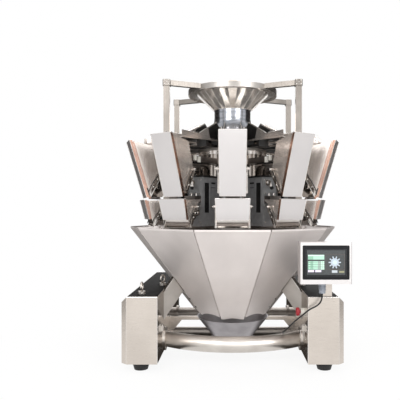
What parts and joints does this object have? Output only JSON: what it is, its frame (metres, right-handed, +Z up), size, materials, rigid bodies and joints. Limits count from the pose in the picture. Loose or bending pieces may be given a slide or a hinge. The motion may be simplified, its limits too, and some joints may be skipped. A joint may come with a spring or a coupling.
{
  "type": "multihead weigher",
  "caption": "Combination weigher: infeed cone and feeder pans over a ring of feed and weigh hoppers, a faceted collecting chute and an outlet cone on a two-box base.",
  "frame": {"origin": "on the floor, on the machine's upright axis", "axes": "+Z up, the operator stands at -Y facing +Y, +X to the operator's right"},
  "size_m": [1.0964, 1.11, 1.372],
  "materials": {
    "satin_steel": "satin",
    "tube_steel": "polished",
    "matt_steel": "matt",
    "mirror_steel": "mirror polished",
    "chute_steel": "fine satin",
    "cover_steel": "fine satin",
    "dark_enamel": "semi-gloss",
    "black_enamel": "semi-gloss",
    "panel_black": "gloss",
    "grey_plastic": "matt",
    "white_plastic": "gloss",
    "red_plastic": "gloss",
    "cable_black": "matt",
    "foot_rubber": "matt"
  },
  "bodies": {
    "frame": {"base_boxes": "satin_steel", "rubber_feet": "foot_rubber", "front_bow_tube": "tube_steel", "cross_tubes": "tube_steel", "outlet_supports": "satin_steel", "outlet_cone": "matt_steel", "support_arms": "satin_steel", "central_column": "dark_enamel", "drive_units": "dark_enamel", "drive_top_plate": "black_enamel", "polished_drum": "mirror_steel", "drum_band": "satin_steel", "feeder_deck": "black_enamel", "chute_panels": "chute_steel", "feed_hopper_sides": "mirror_steel", "feed_hopper_walls": "mirror_steel", "feed_hopper_covers": "cover_steel", "weigh_hopper_sides": "mirror_steel", "weigh_hopper_walls": "mirror_steel", "weigh_hopper_covers": "cover_steel", "hopper_hangers": "satin_steel", "feeder_pan_floors": "mirror_steel", "feeder_pan_sides": "mirror_steel", "vibrators": "black_enamel", "dispersion_cone": "mirror_steel", "infeed_cone": "mirror_steel", "infeed_neck": "mirror_steel", "infeed_posts": "satin_steel", "post_caps": "satin_steel", "post_arms": "satin_steel", "panel_housing": "cover_steel", "panel_bezel": "panel_black", "panel_post": "satin_steel", "cable_glands": "grey_plastic", "panel_cable": "cable_black", "stop_base": "white_plastic", "eye_bolts": "tube_steel", "wall_clamps": "tube_steel"},
    "stop_button": {"stop_button": "red_plastic"},
    "feed_gate_01": {"feed_gate_01": "mirror_steel"},
    "feed_gate_02": {"feed_gate_02": "mirror_steel"},
    "feed_gate_03": {"feed_gate_03": "mirror_steel"},
    "feed_gate_04": {"feed_gate_04": "mirror_steel"},
    "feed_gate_05": {"feed_gate_05": "mirror_steel"},
    "feed_gate_06": {"feed_gate_06": "mirror_steel"},
    "feed_gate_07": {"feed_gate_07": "mirror_steel"},
    "feed_gate_08": {"feed_gate_08": "mirror_steel"},
    "feed_gate_09": {"feed_gate_09": "mirror_steel"},
    "feed_gate_10": {"feed_gate_10": "mirror_steel"},
    "weigh_gate_01": {"weigh_gate_01": "mirror_steel"},
    "weigh_gate_02": {"weigh_gate_02": "mirror_steel"},
    "weigh_gate_03": {"weigh_gate_03": "mirror_steel"},
    "weigh_gate_04": {"weigh_gate_04": "mirror_steel"},
    "weigh_gate_05": {"weigh_gate_05": "mirror_steel"},
    "weigh_gate_06": {"weigh_gate_06": "mirror_steel"},
    "weigh_gate_07": {"weigh_gate_07": "mirror_steel"},
    "weigh_gate_08": {"weigh_gate_08": "mirror_steel"},
    "weigh_gate_09": {"weigh_gate_09": "mirror_steel"},
    "weigh_gate_10": {"weigh_gate_10": "mirror_steel"}
  },
  "joints": [
    {"name": "feed_gate_01_hinge", "type": "hinge", "parent": "frame", "child": "feed_gate_01", "pos_m": [0, -0.403, 0.918], "axis": [1, 0, 0], "range_deg": [0, 40], "stiffness_Nm_per_rad": 1.2, "springref_deg": -34.38},
    {"name": "feed_gate_02_hinge", "type": "hinge", "parent": "frame", "child": "feed_gate_02", "pos_m": [0.23688, -0.32603, 0.918], "axis": [0.809, 0.5878, 0], "range_deg": [0, 40], "stiffness_Nm_per_rad": 1.2, "springref_deg": -34.38},
    {"name": "feed_gate_03_hinge", "type": "hinge", "parent": "frame", "child": "feed_gate_03", "pos_m": [0.38328, -0.12453, 0.918], "axis": [0.309, 0.9511, 0], "range_deg": [0, 40], "stiffness_Nm_per_rad": 1.2, "springref_deg": -34.38},
    {"name": "feed_gate_04_hinge", "type": "hinge", "parent": "frame", "child": "feed_gate_04", "pos_m": [0.38328, 0.12453, 0.918], "axis": [-0.309, 0.9511, 0], "range_deg": [0, 40], "stiffness_Nm_per_rad": 1.2, "springref_deg": -34.38},
    {"name": "feed_gate_05_hinge", "type": "hinge", "parent": "frame", "child": "feed_gate_05", "pos_m": [0.23688, 0.32603, 0.918], "axis": [-0.809, 0.5878, 0], "range_deg": [0, 40], "stiffness_Nm_per_rad": 1.2, "springref_deg": -34.38},
    {"name": "feed_gate_06_hinge", "type": "hinge", "parent": "frame", "child": "feed_gate_06", "pos_m": [0, 0.403, 0.918], "axis": [-1, 0, 0], "range_deg": [0, 40], "stiffness_Nm_per_rad": 1.2, "springref_deg": -34.38},
    {"name": "feed_gate_07_hinge", "type": "hinge", "parent": "frame", "child": "feed_gate_07", "pos_m": [-0.23688, 0.32603, 0.918], "axis": [-0.809, -0.5878, 0], "range_deg": [0, 40], "stiffness_Nm_per_rad": 1.2, "springref_deg": -34.38},
    {"name": "feed_gate_08_hinge", "type": "hinge", "parent": "frame", "child": "feed_gate_08", "pos_m": [-0.38328, 0.12453, 0.918], "axis": [-0.309, -0.9511, 0], "range_deg": [0, 40], "stiffness_Nm_per_rad": 1.2, "springref_deg": -34.38},
    {"name": "feed_gate_09_hinge", "type": "hinge", "parent": "frame", "child": "feed_gate_09", "pos_m": [-0.38328, -0.12453, 0.918], "axis": [0.309, -0.9511, 0], "range_deg": [0, 40], "stiffness_Nm_per_rad": 1.2, "springref_deg": -34.38},
    {"name": "feed_gate_10_hinge", "type": "hinge", "parent": "frame", "child": "feed_gate_10", "pos_m": [-0.23688, -0.32603, 0.918], "axis": [0.809, -0.5878, 0], "range_deg": [0, 40], "stiffness_Nm_per_rad": 1.2, "springref_deg": -34.38},
    {"name": "weigh_gate_01_hinge", "type": "hinge", "parent": "frame", "child": "weigh_gate_01", "pos_m": [0, -0.397, 0.743], "axis": [1, 0, 0], "range_deg": [0, 40], "stiffness_Nm_per_rad": 1.2, "springref_deg": -34.38},
    {"name": "weigh_gate_02_hinge", "type": "hinge", "parent": "frame", "child": "weigh_gate_02", "pos_m": [0.23335, -0.32118, 0.743], "axis": [0.809, 0.5878, 0], "range_deg": [0, 40], "stiffness_Nm_per_rad": 1.2, "springref_deg": -34.38},
    {"name": "weigh_gate_03_hinge", "type": "hinge", "parent": "frame", "child": "weigh_gate_03", "pos_m": [0.37757, -0.12268, 0.743], "axis": [0.309, 0.9511, 0], "range_deg": [0, 40], "stiffness_Nm_per_rad": 1.2, "springref_deg": -34.38},
    {"name": "weigh_gate_04_hinge", "type": "hinge", "parent": "frame", "child": "weigh_gate_04", "pos_m": [0.37757, 0.12268, 0.743], "axis": [-0.309, 0.9511, 0], "range_deg": [0, 40], "stiffness_Nm_per_rad": 1.2, "springref_deg": -34.38},
    {"name": "weigh_gate_05_hinge", "type": "hinge", "parent": "frame", "child": "weigh_gate_05", "pos_m": [0.23335, 0.32118, 0.743], "axis": [-0.809, 0.5878, 0], "range_deg": [0, 40], "stiffness_Nm_per_rad": 1.2, "springref_deg": -34.38},
    {"name": "weigh_gate_06_hinge", "type": "hinge", "parent": "frame", "child": "weigh_gate_06", "pos_m": [0, 0.397, 0.743], "axis": [-1, 0, 0], "range_deg": [0, 40], "stiffness_Nm_per_rad": 1.2, "springref_deg": -34.38},
    {"name": "weigh_gate_07_hinge", "type": "hinge", "parent": "frame", "child": "weigh_gate_07", "pos_m": [-0.23335, 0.32118, 0.743], "axis": [-0.809, -0.5878, 0], "range_deg": [0, 40], "stiffness_Nm_per_rad": 1.2, "springref_deg": -34.38},
    {"name": "weigh_gate_08_hinge", "type": "hinge", "parent": "frame", "child": "weigh_gate_08", "pos_m": [-0.37757, 0.12268, 0.743], "axis": [-0.309, -0.9511, 0], "range_deg": [0, 40], "stiffness_Nm_per_rad": 1.2, "springref_deg": -34.38},
    {"name": "weigh_gate_09_hinge", "type": "hinge", "parent": "frame", "child": "weigh_gate_09", "pos_m": [-0.37757, -0.12268, 0.743], "axis": [0.309, -0.9511, 0], "range_deg": [0, 40], "stiffness_Nm_per_rad": 1.2, "springref_deg": -34.38},
    {"name": "weigh_gate_10_hinge", "type": "hinge", "parent": "frame", "child": "weigh_gate_10", "pos_m": [-0.23335, -0.32118, 0.743], "axis": [0.809, -0.5878, 0], "range_deg": [0, 40], "stiffness_Nm_per_rad": 1.2, "springref_deg": -34.38},
    {"name": "stop_button_press", "type": "slide", "parent": "frame", "child": "stop_button", "axis": [1, 0, 0], "range_m": [0, 0.004], "stiffness_N_per_m": 900, "springref_m": -0.004}
  ]
}
